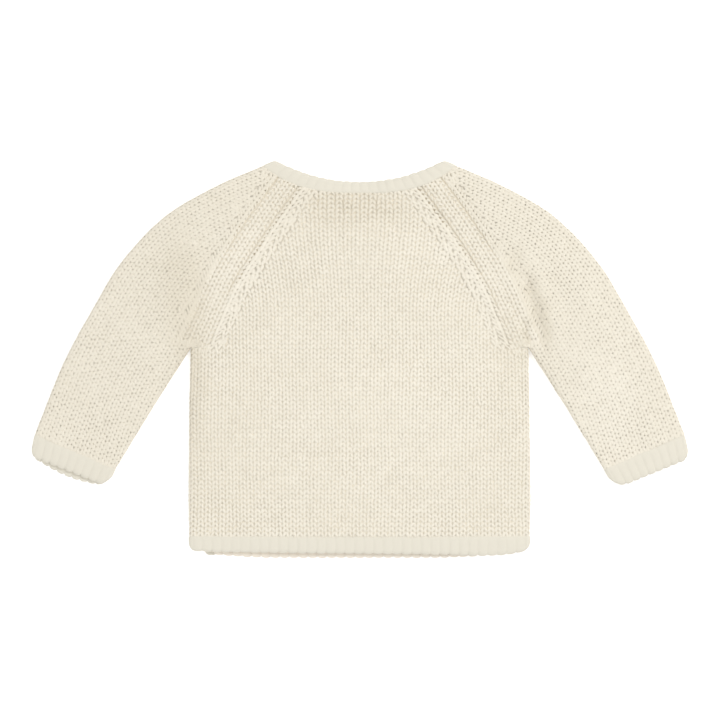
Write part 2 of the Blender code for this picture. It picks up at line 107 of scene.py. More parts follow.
def sleeve_section(share):
    """Shoulder fold and other edge of a sleeve's section, 0 at the neck, 1 at the underarm."""
    row = along(SLEEVE_SECTIONS, share * UNDERARM_ROW)
    return row[..., :2], row[..., 2:]


def half_width(y):
    """Half of the body's width at a height."""
    return np.interp(y, BODY_SIDES[:, 0], BODY_SIDES[:, 1])


def smooth(share):
    """A step from 0 to 1 with soft ends."""
    t = np.clip(share, 0.0, 1.0)
    return t * t * (3.0 - 2.0 * t)


def lengths_along(line):
    """Length of a line up to each of its points."""
    return np.r_[0.0, np.cumsum(np.linalg.norm(np.diff(line, axis=0), axis=1))]


def point_at(line, lengths, up):
    """Point of a line at a length from its start."""
    return np.interp(up, lengths, line[:, 0]), np.interp(up, lengths, line[:, 1])


def out_at(line, y):
    """How far out a line lies at a height."""
    return np.interp(y, line[:, 1], line[:, 0])


raglan = sleeve_section(np.linspace(1.0, 0.0, 60))[1]  # from the underarm up
RAGLAN_LENGTH = lengths_along(raglan)
UNDERARM = raglan[0]
RAGLAN_TOP = raglan[-1]
print("a raglan seam is", round(RAGLAN_LENGTH[-1] * 100, 1), "cm long")

# %% [markdown]
# ## The neck and the crossed fronts
# Seen from above the neck is two scoops, the seam under the band and the band's free edge. Each
# front crosses the centre line on a slant and ends in an upright edge. That edge is hidden, but
# the back lies on it and dips softly past it, so the back's own surface needs its line.

# %% Scoops, wrap lines and the level of every layer
NECK_SEAM = (0.0740, 0.1277, 0.0205, 2.9)  # half_width, y at the centre, rise, power
NECK_EDGE = (0.0644, 0.1361, 0.0162, 2.1)
WRAP_REACH = {1: 0.1197, -1: 0.1080}
WRAP_CORNER_Y = -0.030
WRAP_SOFTNESS = 0.006
WRAP_BAND_WIDTH = 0.0080
RAMP = 0.038  # length over which a layer sinks past the edge of the one below


def scoop_y(scoop, x):
    """Height of a neck scoop at x."""
    half, centre_y, rise, power = scoop
    return centre_y + rise * (np.abs(x) / half) ** power


def wrap_seam(y, side):
    """How far past the centre line a front's band seam lies."""
    reach = WRAP_REACH[side] - WRAP_BAND_WIDTH
    slope = (RAGLAN_TOP[0] + reach) / (RAGLAN_TOP[1] - WRAP_CORNER_Y)
    slant = (RAGLAN_TOP[1] - y) * slope - RAGLAN_TOP[0]
    return -WRAP_SOFTNESS * np.logaddexp(-slant / WRAP_SOFTNESS, -reach / WRAP_SOFTNESS)


def wrap_stretch(y, side):
    """Length along that seam for each unit of height."""
    lean = (wrap_seam(y - 0.001, side) - wrap_seam(y + 0.001, side)) / 0.002
    return np.hypot(1.0, lean)


def cover(x, y, side):
    """1 where a front lies, sinking to 0 past its free edge."""
    past = (-side * x - wrap_seam(y, side)) / wrap_stretch(y, side) - WRAP_BAND_WIDTH
    return 1.0 - smooth(past / RAMP)


print("the outer front reaches", WRAP_REACH[1] * 1000, "mm past the centre line")

# %% [markdown]
# ## Creases placed one by one
# Cloth that was put down keeps soft hollows and swells. A simulation would find some of its
# own, but these have to lie where the real ones lie, so each is a line with a width and a
# height, below zero for a hollow. They fade out at both ends. Three slow waves add a faint
# unevenness of the whole cloth.

# %% Crease table
CREASES = 0.001 * np.array((
    # x1, y1, x2, y2, half_width, height, in millimetres
    (112, 90, 132, 45, 5.8, -1.6), (124, 68, 142.5, 6, 5, -2.1), (104, 86, 122, 40, 6, 0.8),
    (133, 76, 154, 6, 6.2, 1.5), (121.5, 34, 132.5, 6, 3, -1.5), (162, 72, 190, -10, 13, 0.7),
    (193, -20, 218, -78, 8, -0.5), (-109, 108, -131, 24, 8.5, -1.5),
    (-138, 86, -156, 10, 11, 1), (-120, 50, -133, 23, 4, -0.9), (-190, -15, -220, -72, 9, -0.5),
    (96, 50, 108, -80, 9, -0.4), (118, 0, 119, -110, 7, 0.4), (-90, 30, -106, -90, 11, 0.4),
    (-45, 109, 42, 108, 14, -0.4),
))


def creases(x, y):
    """Lift of the upper layer by the creases."""
    # The slow waves
    height = 0.00012 * (np.sin(61.0 * x + 17.0 * y) + np.sin(83.0 * y - 29.0 * x + 1.3))
    height = height + 0.00008 * np.sin(151.0 * x + 2.0) * np.sin(127.0 * y)
    for x1, y1, x2, y2, half, most in CREASES:
        length = math.hypot(x2 - x1, y2 - y1)
        ahead = ((x - x1) * (x2 - x1) + (y - y1) * (y2 - y1)) / length**2
        aside = ((x - x1) * (y2 - y1) - (y - y1) * (x2 - x1)) / length
        ends = smooth(3.0 * ahead) * smooth(3.0 - 3.0 * ahead)
        height = height + most * ends * np.exp(-((aside / half) ** 2))
    return height


def surface_floor(x, y):
    """Underside of what lies on the table."""
    return 0.0 * x


def inner_floor(x, y):
    """Underside of the inner front."""
    return STEP * cover(x, y, 1)


def top_floor(x, y):
    """Underside of the uppermost layer."""
    return STEP * (cover(x, y, 1) + cover(x, y, -1))


FRONT_FLOOR = {1: surface_floor, -1: inner_floor}
# Shoulder fold, and lower fold with the raglan seam, both from the cuff up
shoulder, lower_edge = sleeve_section(np.linspace(ARM_SHARE, 0.0, 90))
SHOULDER_LENGTH = lengths_along(shoulder)
# How high the air inside lifts the back and a sleeve, and at which heights that fades out
BACK_CROWN, SLEEVE_CROWN = 0.0008, 0.0017
BACK_CROWN_TOP, SLEEVE_CROWN_TOP, SLEEVE_CROWN_END = 0.125, 0.140, -0.075
TOP_FADE, END_FADE = 0.05, 0.03
SLEEVE_SHOULDER = 0.034  # distance from its folds over which a sleeve rises


def distance_inside(line, out, y, sign):
    """Distance from a line that runs up a sleeve, above zero on the outer side if sign is 1."""
    step = 0.004
    below, at, above = (out_at(line, y + shift) for shift in (-step, 0.0, step))
    return sign * (out - at) * 2.0 * step / np.hypot(2.0 * step, below - above)


def from_lower_edge(out, y):
    """Distance inside a sleeve's raglan seam and lower fold."""
    return distance_inside(lower_edge, out, y, 1.0)


def crown(x, y):
    """Lift of the upper layer by the air inside."""
    out = np.abs(x)
    seam_out = out_at(raglan, y)
    on_body = out < np.where(y < UNDERARM[1], half_width(y), seam_out)
    share = np.clip(out / np.maximum(seam_out, 0.05), 0.0, 1.0)
    back = BACK_CROWN * np.cos(0.5 * math.pi * share) * smooth((BACK_CROWN_TOP - y) / TOP_FADE)
    inside = np.minimum(distance_inside(shoulder, out, y, -1.0), from_lower_edge(out, y))
    sleeve = SLEEVE_CROWN * np.sqrt(smooth(inside / SLEEVE_SHOULDER))
    sleeve = sleeve * smooth((SLEEVE_CROWN_TOP - y) / TOP_FADE)
    sleeve = sleeve * smooth((y - SLEEVE_CROWN_END) / END_FADE)
    return np.where(on_body, back, sleeve)


def upper_lift(x, y):
    """All that lifts the upper layer."""
    return crown(x, y) + creases(x, y)


def level(x, y):
    """Height of the surface that the stitches reach."""
    return top_floor(x, y) + CLOTH + upper_lift(x, y)


print("creases:", len(CREASES), "and the deepest is", round(CREASES[:, 5].min() * 1000, 1), "mm")

# %% [markdown]
# ## Cotton yarn
# The yarn is matt, cream and a little uneven, and the twist of its strands catches the light in
# fine slanting lines. A flat colour would look like plastic, so the colour comes from a tone
# stored on each stitch and a slow noise, and the twist and the short fibres are bump. That tone
# also carries painted shade and painted light. The sheen of the loose fibres is set on the
# shader itself.

# %% Shader helpers and the yarn
YARN_LIGHT = (0.925, 0.872, 0.757)
YARN_DARK = (0.780, 0.718, 0.592)


def feed(tree, socket, value):
    """Links an input to an output, or gives it a value."""
    if isinstance(value, bpy.types.NodeSocket):
        tree.links.new(value, socket)
    else:
        socket.default_value = value


def fill(tree, node, **inputs):
    """Feeds a node's inputs by name."""
    for label, value in inputs.items():
        feed(tree, node.inputs[label.replace("_", " ")], value)
    return node


def add_node(tree, kind, settings=None, **inputs):
    """Adds a shader node and sets its options and inputs."""
    node = tree.nodes.new(kind)
    for option, value in (settings or {}).items():
        setattr(node, option, value)
    return fill(tree, node, **inputs)


def maths(tree, operation, *values):
    """Adds one step of arithmetic."""
    node = add_node(tree, "ShaderNodeMath", {"operation": operation})
    for socket, value in zip(node.inputs, values):
        feed(tree, socket, value)
    return node.outputs[0]


def cotton(name, light, dark):
    """Cotton with a slow change of tone, and its tree, shader and place."""
    material = bpy.data.materials.new(name)
    material.use_nodes = True
    tree = material.node_tree
    place = add_node(tree, "ShaderNodeTexCoord").outputs["Object"]
    patches = add_node(tree, "ShaderNodeTexNoise", Vector=place, Scale=34.0, Detail=3.0)
    # The tone attribute holds each piece's own tone and also the painted shade and painted light
    # stored on it
    tone = add_node(tree, "ShaderNodeAttribute", {"attribute_name": "tone"})
    blend = maths(tree, "MULTIPLY_ADD", patches.outputs["Fac"], 0.30, tone.outputs["Fac"])
    colour = add_node(tree, "ShaderNodeMix", {"data_type": "RGBA"}, Factor=blend,
                      A=(*dark, 1.0), B=(*light, 1.0))
    shader = fill(tree, tree.nodes["Principled BSDF"], Base_Color=colour.outputs["Result"],
                  Roughness=0.92, Specular_IOR_Level=0.25, Sheen_Weight=0.25,
                  Sheen_Roughness=0.5, Sheen_Tint=(1.0, 0.97, 0.9, 1.0))
    return material, tree, shader, place


def add_relief(tree, shader, place, height, strength, fibre_strength, distance, scale=2600.0):
    """Bump from a height, and over it the short loose fibres."""
    fibres = add_node(tree, "ShaderNodeTexNoise", Vector=place, Scale=scale, Detail=3.0)
    form = add_node(tree, "ShaderNodeBump", Strength=strength, Distance=distance, Height=height)
    fuzz = add_node(tree, "ShaderNodeBump", Strength=fibre_strength, Distance=distance,
                    Height=fibres.outputs["Fac"], Normal=form.outputs["Normal"])
    fill(tree, shader, Normal=fuzz.outputs["Normal"])


def strand_material(name, light, dark, lean, scale, distortion, strength, fibre_scale):
    """Cotton for modelled yarn, with fine lines along the strand."""
    material, tree, shader, place = cotton(name, light, dark)
    strand = add_node(tree, "ShaderNodeUVMap", {"uv_map": "strand"}).outputs["UV"]
    turned = add_node(tree, "ShaderNodeMapping", Vector=strand, Rotation=(0.0, 0.0, lean))
    lines = add_node(tree, "ShaderNodeTexWave", {"bands_direction": "X"},
                     Vector=turned.outputs["Vector"], Scale=scale, Distortion=distortion)
    add_relief(tree, shader, place, lines.outputs["Fac"], strength, 0.3, 0.0003, fibre_scale)
    return material


YARN = strand_material("cotton_yarn", YARN_LIGHT, YARN_DARK, 0.6, 1.5, 0.6, 0.35, 2600.0)
print("materials so far:", YARN.name)

# %% [markdown]
# The walls under the stitches and the layers that lie hidden get the same cotton with the knit
# as bump only. Two slanting waves, one mirrored, make the V of a stitch: a saw shape across the
# column turns the rows into slopes, left on one half of the column and right on the other.

# %% Plain knit


def knit_material(name, light, dark):
    """Cotton with the columns of V shapes as bump."""
    material, tree, shader, place = cotton(name, light, dark)
    parts = add_node(tree, "ShaderNodeSeparateXYZ", Vector=place).outputs
    across = maths(tree, "PINGPONG", parts["X"], WALE / 2.0)
    slant = maths(tree, "MULTIPLY", across, 0.9 * COURSE / (WALE / 2.0))
    rows = maths(tree, "SUBTRACT", parts["Y"], slant)
    legs = maths(tree, "SINE", maths(tree, "MULTIPLY", rows, 2.0 * math.pi / COURSE))
    columns = maths(tree, "SINE", maths(tree, "MULTIPLY", across, 2.0 * math.pi / WALE))
    relief = maths(tree, "MULTIPLY", columns, maths(tree, "MULTIPLY_ADD", legs, 0.35, 0.65))
    add_relief(tree, shader, place, relief, 0.8, 0.25, 0.0007)
    return material


KNIT = knit_material("cotton_knit", YARN_LIGHT, YARN_DARK)
# The ground is darker than the yarn: painted shade in the holes between the stitches
GROUND = knit_material("cotton_between_stitches", (0.835, 0.772, 0.645), (0.480, 0.390, 0.260))
print("materials so far:", YARN.name, KNIT.name, GROUND.name)

# %% [markdown]
# ## Making a piece from arrays
# Every piece here is a grid or a row of rings, so one helper turns points and faces into an
# object that rides on the garment, replaces its solid and takes its finish.

# %% Piece helper


def make_piece(name, points, faces, material, tones, replaces=()):
    """A smooth mesh object. The cotton mixes its colour by tones."""
    mesh = bpy.data.meshes.new(name)
    points = np.asarray(points).reshape(-1, 3)
    mesh.from_pydata(points.tolist(), [], [tuple(map(int, face)) for face in faces])
    mesh.shade_smooth()
    mesh.materials.append(material)
    tones = np.zeros(len(points)) + np.ravel(tones)
    mesh.attributes.new("tone", "FLOAT", "POINT").data.foreach_set(
        "value", tones.astype(np.float32))
    piece = bpy.data.objects.new(name, mesh)
    bpy.context.scene.collection.objects.link(piece)
    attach(piece, "root")
    for node in replaces:
        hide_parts(node)
    return piece


def grid_faces(rows, columns, joined_from=0, closed=False):
    """Faces of a grid whose rows join up round from one row on, and which may close on itself."""
    faces = []
    for row in range(rows if closed else rows - 1):
        step = ((row + 1) % rows - row) * columns
        for column in range(columns if row >= joined_from else columns - 1):
            a, b = row * columns + column, row * columns + (column + 1) % columns
            faces.append((a, b, b + step, a + step))
    return faces


def set_uv(piece, label, pairs):
    """Stores a UV map from one pair for each point."""
    corners = np.empty(len(piece.data.loops), np.int32)
    piece.data.loops.foreach_get("vertex_index", corners)
    layer = piece.data.uv_layers.new(name=label)
    layer.data.foreach_set("uv", np.asarray(pairs, np.float32)[corners].ravel())


# %% [markdown]
# ## Thin walls of cloth
# A wall is a grid of pairs, a point on its outer face and one on its inner face. It lies flat
# over most of its width. At a fold two layers make half a circle and meet at mid height. The
# upper layer's outer face is sunk, because stitches will cover it.

# %% Pairs of points, flat and folded
FOLD_ANGLES = (90.0, 75.0, 60.0, 45.0, 30.0, 15.0, 0.0)


def flat_pair(x, y, floor, upper):
    """Pair where a wall lies flat. The outer face is on top only in the upper layer."""
    base = float(floor(x, y))
    if upper:
        base += float(upper_lift(x, y))
        return (x, y, base + CLOTH - SINK), (x, y, base)
    return (x, y, base), (x, y, base + CLOTH)


def fold_pairs(edge, inward, upper, angles=FOLD_ANGLES, levels=(0.0, PAIR), sink=SINK):
    """Pairs round a fold, which meets the other layer at mid height."""
    half, middle = (levels[1] - levels[0]) / 2.0, (levels[1] + levels[0]) / 2.0
    pairs = []
    for turn in np.radians(angles):
        pair = []
        for setback, radius in ((sink, half - sink), (CLOTH, half - CLOTH)):
            x, y = edge + inward * (setback + radius * (1.0 - math.sin(turn)))
            rise = max(radius * math.cos(turn), HALF_SEAM)
            pair.append((x, y, middle + rise if upper else middle - rise))
        pairs.append(tuple(pair))
    return pairs


def wall(name, rows, node, material=KNIT, joined_from=math.inf):
    """A wall lofted through rows of pairs, and a tube from one row on."""
    grid = np.array(rows)
    faces = grid_faces(*grid.shape[:2], joined_from)
    points = np.concatenate((grid[:, :, 0].reshape(-1, 3), grid[:, :, 1].reshape(-1, 3)))
    count = len(points) // 2
    inner = [tuple(i + count for i in reversed(face)) for face in faces]
    edges = [(face[i], face[(i + 1) % 4]) for face in faces for i in range(4)]
    paired = set(edges)
    rims = [(b, a, a + count, b + count) for a, b in edges if (b, a) not in paired]
    return make_piece(name, points, faces + inner + rims, material, -0.15, [node])


print("a fold is drawn with", len(FOLD_ANGLES), "steps from its outermost line to the flat")

# %% [markdown]
# ## Back and fronts
# The back and the fronts share their rows: straight ones from the hem to the underarm, folded
# over at the sides, and then rows that follow the slanted raglan seams up to the neck. The top
# rows of the back bend down into the scoop of the neck.

# %% Body rows
BODY_ROWS = 40
CAP_ROWS = 36
FRONT_TOP_Y = 0.1340


def body_rows():
    """Rows of the body from the hem up: heights to the underarm, then shares of the raglan."""
    heights = np.linspace(HEM_SEAM_Y + HALF_SEAM, UNDERARM[1], BODY_ROWS + 1)
    shares = np.linspace(1.0, 0.0, CAP_ROWS + 1)[1:]
    return [(y, None) for y in heights] + [(None, share) for share in shares]


def side_fold(y, side):
    """Edge, way in and two levels of the body's side fold."""
    out = float(half_width(y))
    flat_x = side * (out - STEP)
    levels = float(FRONT_FLOOR[side](flat_x, y)), float(top_floor(flat_x, y)) + CLOTH
    return np.array((side * out, y)), np.array((-side, 0.0)), levels


def seam_insets(room=PAIR / 2.0):
    """Steps in from a sewn edge, spaced like those round a fold."""
    return [HALF_SEAM + room * (1.0 - math.sin(math.radians(a))) for a in FOLD_ANGLES]


def body_end(height, share, side, floor, upper):
    """Height of a body row and its pairs at one end, outermost first."""
    if share is None:
        edge, inward, levels = side_fold(height, side)
        return height, fold_pairs(edge, inward, upper, levels=levels)
    out, y = sleeve_section(share)[1]
    insets = seam_insets()
    if share == 0.0 and not upper:
        # The point of a front, beside the neck
        y = FRONT_TOP_Y
        out = out_at(raglan, y)
        insets = seam_insets(0.3 * (out + float(wrap_seam(y, side))))
    return y, [flat_pair(side * (out - inset), y, floor, upper) for inset in insets]


def make_back_wall():
    """Wall of the back."""
    rows = []
    for height, share in body_rows():
        (y, left), (_, right) = (body_end(height, share, s, top_floor, True) for s in (-1, 1))
        xs = np.linspace(left[-1][0][0], right[-1][0][0], 79)[1:-1]
        row = np.array(left + [flat_pair(x, y, top_floor, True) for x in xs] + right[::-1])
        if share is not None:
            rise = scoop_y(NECK_SEAM, row[..., 0] / abs(row[0, 0, 0]) * RAGLAN_TOP[0])
            rise = rise - scoop_y(NECK_SEAM, RAGLAN_TOP[0]) - HALF_SEAM
            drawn = level(row[..., 0], row[..., 1])
            row[..., 1] += (1.0 - share) ** 3 * rise
            row[..., 2] += level(row[..., 0], row[..., 1]) - drawn
        rows.append(row)
    return wall("back_cloth", rows, "back", GROUND)


def make_front_wall(name, side):
    """Wall of a front, from its side across to its band."""
    floor = FRONT_FLOOR[side]
    rows = []
    for height, share in body_rows():
        y, row = body_end(height, share, side, floor, False)
        stop = -side * float(wrap_seam(y, side) - HALF_SEAM * wrap_stretch(y, side))
        row += [flat_pair(x, y, floor, False) for x in np.linspace(row[-1][0][0], stop, 50)[1:]]
        rows.append(row)
    return wall(name + "_cloth", rows, name)


back_cloth = make_back_wall()
front_right_cloth = make_front_wall("front_right", 1)
front_left_cloth = make_front_wall("front_left", -1)
print("points in the back's wall:", len(back_cloth.data.vertices))

# %% [markdown]
# ## Sleeve walls
# A sleeve is one piece folded over the shoulder. It is open down to the underarm, where both of
# its edges are sewn to the body, and from there on it is a flat tube with a seam underneath.

# %% Sleeves
SLEEVE_UPPERS, SLEEVE_UNDERS = 34, 14  # steps across the upper and the under layer


def sleeve_ring(share, side, closed):
    """Pairs from a sleeve's other edge over the shoulder and back under."""
    fold, edge = (point * (side, 1.0) for point in sleeve_section(share))
    way = (edge - fold) / np.linalg.norm(edge - fold)
    start, stop = fold + way * PAIR / 2.0, edge - way * PAIR / 2.0

    def across(shares, floor, upper):
        return [flat_pair(*(start + (stop - start) * s), floor, upper) for s in shares[1:-1]]

    def other_edge(floor, upper):
        if closed:
            return fold_pairs(edge, -way, upper)
        return [flat_pair(*(edge - way * inset), floor, upper) for inset in seam_insets()]

    return np.array([
        *other_edge(top_floor, True),
        *across(np.linspace(1.0, 0.0, SLEEVE_UPPERS + 1), top_floor, True),
        *fold_pairs(fold, way, True, FOLD_ANGLES[::-1]),
        *fold_pairs(fold, way, False, FOLD_ANGLES[1:]),
        *across(np.linspace(0.0, 1.0, SLEEVE_UNDERS + 1), surface_floor, False),
        *other_edge(surface_floor, False)[::-1],
    ])


def make_sleeve_wall(side):
    """Wall of a sleeve, with its first row on the seam under the neckband."""
    cap = np.linspace(0.0, 1.0, CAP_ROWS + 1)
    arm = np.linspace(1.0, ARM_SHARE, 31)[1:]
    rows = [sleeve_ring(share, side, share >= 1.0) for share in (*cap, *arm)]
    rows[0][..., 1] = scoop_y(NECK_SEAM, rows[0][..., 0]) - HALF_SEAM
    name = f"sleeve_{SIDE_WORDS[side]}"
    return wall(name + "_cloth", rows, name, GROUND, joined_from=CAP_ROWS)


sleeve_cloths = {side: make_sleeve_wall(side) for side in SIDE_WORDS}
print("points in a sleeve's wall:", len(sleeve_cloths[1].data.vertices))

# %% [markdown]
# ## One stitch
# In stocking stitch each loop shows two legs in the shape of a V. A leg comes out between the
# legs of the loop below, swells, leans outwards and dives behind the next loop. Between two
# legs, and between two columns, a small hole stays open, half a row apart. Here a leg is an
# open half tube that is fat in the middle and sinks into the wall at both ends.

# %% The two legs of a stitch
# Along a leg: share of its length, place of its middle line and half its width in columns,
# and how high it stands in millimetres
LEG = np.array((
    (0.00, 0.225, 0.130, -0.60), (0.08, 0.175, 0.180, -0.20), (0.20, 0.150, 0.205, 0.02),
    (0.36, 0.200, 0.235, 0.10), (0.54, 0.288, 0.248, 0.10), (0.72, 0.336, 0.243, 0.06),
    (0.87, 0.350, 0.215, -0.10), (1.00, 0.255, 0.140, -0.80),
))
LEG_START, LEG_LENGTH = -0.17, 1.28  # in rows
LEG_SIDES = 5  # points across it
STITCH_MIDDLE = 0.3  # height of a stitch's middle, in rows


def stitch_shape():
    """One stitch: its points as spine and offset across, up and lift, its faces and strand."""
    t, spine, half, stand = (LEG[:, i, None] for i in range(4))
    turn = np.radians(np.linspace(-14.0, 194.0, LEG_SIDES))[None, :]
    offset = half * np.cos(turn)
    up = LEG_START + LEG_LENGTH * t - 0.15 * offset
    lift = 0.001 * stand - 0.0007 * (1.0 - np.sin(turn))
    spine = spine + 0.0 * turn
    points = [
        np.stack((side * spine, side * offset, up, lift), axis=-1).reshape(-1, 4)
        for side in (-1.0, 1.0)
    ]
    strand = np.stack((3.0 * t + 0.0 * turn, np.cos(turn) + 0.0 * t), axis=-1).reshape(-1, 2)
    leg = np.array(grid_faces(len(LEG), LEG_SIDES, math.inf))
    faces = np.concatenate((leg[:, (1, 2, 3, 0)], leg[:, (0, 3, 2, 1)] + len(strand)))
    return np.concatenate(points), faces, np.concatenate((strand, strand))


STITCH_POINTS, STITCH_FACES, STITCH_STRAND = stitch_shape()
# How much a slack stitch thins: the lower half of each leg, which leaves a round hole beside it
OPENING = (0.10 + 0.28 * smooth((0.62 - STITCH_STRAND[:, 0] / 3.0) / 0.30))[None, :]
print("a stitch has", len(STITCH_POINTS), "points and", len(STITCH_FACES), "faces")

# %% [markdown]
# ## Knitting a patch
# A patch is a list of places in columns and rows, and a function that lays flat points on the
# garment. Repeating one stitch by array modifiers would look printed, so each is shifted,
# fattened and turned a little, in the same way on each run. Two tables of soft round spots say
# where the knit is stretched open or lies tight, and where painted light makes the cloth lighter
# and painted shade darker. A slack stitch is thinner, and a tight one is fuller and flatter, so
# that its holes close.

# %% Knit a patch of stitches
shake = np.random.default_rng(11)
# Soft round spots: x, y, reach in x and in y in millimetres, and how much.
# Where the knit is drawn open or, below 0, lies tight
SLACK_SPOTS = (
    (-1.5, 116.5, 42, 15, 0.9), (-43, 124, 6, 9, -0.9), (-55.2, 105.8, 7, 8, -0.8),
    (-82.8, 65.2, 8, 10, -0.7), (-101.2, 39.9, 8, 10, -0.8), (66.4, 79.2, 8, 8, -0.9),
    (44, 118, 6, 9, -0.6), (89, 56, 8, 10, -0.5), (-88.2, 121.2, 8, 6, -0.7),
    (-96.6, 112, 8, 6, -0.6), (114, 80, 9, 11, -1.2), (124, 64, 9.5, 12, -1.5),
    (134, 45, 9.5, 13, -1.5), (140, 25, 7.5, 12, -1.4), (-130, 90, 15, 15, -0.5),
)
# Painted light and painted shade: where the cloth is toned lighter or, below 0, darker
PAINTED_LIGHT_AND_SHADE = (
    (-129, -15, 11, 70, -0.55), (-137, 56, 17, 42, -0.45), (-20, 118, 80, 20, -0.30),
    (116, 10, 12, 26, -0.25), (118, 70, 8, 14, -0.20), (131, 53, 5.5, 10, -0.45),
    (139, 35, 5, 11, -0.70), (143.5, 18, 4.5, 9, -0.60), (128, 19, 2.8, 12, -0.50),
    (190, -35, 33, 50, 0.25), (20, -40, 90, 70, 0.15),
)


def spotted(spots, x, y):
    """Sum of soft round spots at a point."""
    total = 0.0 * x
    for centre_x, centre_y, reach_x, reach_y, amount in spots:
        away = ((1000.0 * x - centre_x) / reach_x) ** 2 + ((1000.0 * y - centre_y) / reach_y) ** 2
        total = total + amount * np.exp(-away)
    return total


def slackness(x, y):
    """How open the knit is at a point: 0 is even, 1 has large holes, -1 none."""
    slow = 0.16 * np.sin(61.0 * x + 2.0 * np.sin(37.0 * y)) * np.sin(53.0 * y + 1.3) - 0.08
    return slow + spotted(SLACK_SPOTS, x, y)


def knit_points(places, lay, wale=WALE, course=COURSE, tone=(0.44, 220.0)):
    """Points of all the stitches, laid on the garment, and their tones.

    A place is a column, a row, a lean and how slack the stitch is besides what the spots say.
    tone is the tone on top of a leg and how much painted shade lowers it with each metre of depth.
    """
    # By chance each stitch is fatter, shifted, turned, longer, higher up or deeper
    jitter = shake.normal(0.0, 1.0, (len(places), 6))[..., None]
    spine, offset, rise, lift = (STITCH_POINTS[None, :, i] for i in range(4))
    column, row, lean, slack = (places[:, i, None] for i in range(4))
    x, y, _ = lay(column * wale, (row + STITCH_MIDDLE) * course, 0.0)
    slack = np.clip(slack + slackness(x, y), -1.4, 1.4)
    lift = lift * (1.0 + 0.40 * np.minimum(slack, 0.0))
    fat = 1.03 + 0.05 * jitter[:, 0] - OPENING * slack
    across = spine + offset * fat + 0.028 * jitter[:, 1]
    across = across + (0.04 * jitter[:, 2] + lean) * (rise - STITCH_MIDDLE)
    up = rise * (1.0 + 0.03 * jitter[:, 3]) + 0.03 * jitter[:, 4]
    # Painted shade: a leg is toned darker the deeper it sinks, and a slack stitch darker beside its
    # holes; the spots add painted light and shade
    tones = tone[0] + 0.03 * jitter[:, 0] + tone[1] * (lift + 0.0002) + spotted(PAINTED_LIGHT_AND_SHADE, x, y)
    tones = tones - np.maximum(slack, 0.0) * (OPENING - 0.10)
    lift = lift + 0.00007 * jitter[:, 5] - 0.0001 * slack
    laid = lay((column + across) * wale, (row + up) * course, lift)
    return np.stack(laid, axis=-1), tones


def knit_piece(name, patches):
    """Joins patches of stitches into one piece."""
    points = np.concatenate([patch[0] for patch in patches])
    tones = np.concatenate([patch[1] for patch in patches])
    count, size = points.shape[:2]
    faces = (STITCH_FACES[None] + size * np.arange(count)[:, None, None]).reshape(-1, 4)
    flat = points.reshape(-1, 3)
    piece = make_piece(name, flat, faces, YARN, tones)
    set_uv(piece, "strand", np.tile(STITCH_STRAND, (count, 1)))
    low, high = flat[:, :2].min(axis=0), flat[:, :2].max(axis=0)
    set_uv(piece, "OFBake", (flat[:, :2] - low) / (high - low))
    print(name, "has", count, "stitches and", 2 * len(faces), "triangles")
    return piece


def grid_of_places(columns, rows):
    """All pairs of a column and a row, with no lean and no slack."""
    column, row = (values.ravel() for values in np.meshgrid(columns, rows))
    return np.stack((column, row, 0.0 * row, 0.0 * row), axis=-1)


def snug(distance, wale):
    """How far stitches near a border move off it, lean towards it and lie tight, to line up."""
    first = (distance > -0.05 * wale) & (distance <= 0.95 * wale)
    second = (distance > 0.95 * wale) & (distance <= 1.95 * wale)
    move = np.where(first, 0.45 * wale - distance, 0.0)
    move = np.where(second, 0.5 * (1.45 * wale - distance), move)
    return move, 0.5 * first + 0.2 * second, -0.8 * first - 0.4 * second


def bend_over(x, y, top, lift, inside, way_x, way_y, radius):
    """Bends flat points round a fold. inside is their distance within the outline."""
    past = np.maximum(radius - inside, 0.0)
    turn = np.minimum(past / radius, math.pi)
    under = np.maximum(past - math.pi * radius, 0.0)
    move = (radius + lift) * np.sin(turn) - past - under
    return x + way_x * move, y + way_y * move, top - radius + (radius + lift) * np.cos(turn)


# %% [markdown]
# ## Stitches of the back
# The columns run straight up from the hem, go round the side folds, and spread a little below
# the neck, where the real knit is stretched. The last two columns before each raglan seam are
# knitted along the seam, so the straight ones stop there, as they do where a knitter decreases.

# %% Lay and knit the back
BORDER_WALE = 0.0056
BORDER_COURSE = 0.00375
BORDER = 0.0113  # width of the two columns that follow a raglan seam
FAN_START, FAN_END = 0.030, 0.120
NECK_FAN = 0.17


def fanned(across, y):
    """Spreads the columns towards the neck."""
    return across * (1.0 + NECK_FAN * smooth((y - FAN_START) / (FAN_END - FAN_START)))


def below_neck(x, y):
    """Where stitches lie, which end a little under the neckband."""
    return y < scoop_y(NECK_SEAM, x) + 0.003


def tuck(x, y):
    """Dip of the stitches under the neckband."""
    return 0.0015 * smooth((y - scoop_y(NECK_SEAM, x) + 0.0005) / 0.0020)


def raglan_distance(out, y):
    """Distance from the raglan seam on the body's side."""
    return np.where(y < UNDERARM[1], 1.0, distance_inside(raglan, out, y, -1.0))


def lay_back(across, up, lift):
    """Lays flat points on the back: across from the centre line, up from the hem seam."""
    y = HEM_SEAM_Y + up
    x = fanned(across, y)
    x = x + 0.0004 * np.sin(60.0 * y + 40.0 * x)  # the columns waver a little
    top = level(x, y)
    low = np.where(x < 0.0, inner_floor(x, y), 0.0)
    inside = half_width(y) - np.abs(x) + 0.01 * smooth((y - UNDERARM[1]) / 0.004)
    return bend_over(x, y, top, lift - tuck(x, y), inside, np.sign(x), 0.0, (top - low) / 2.0)


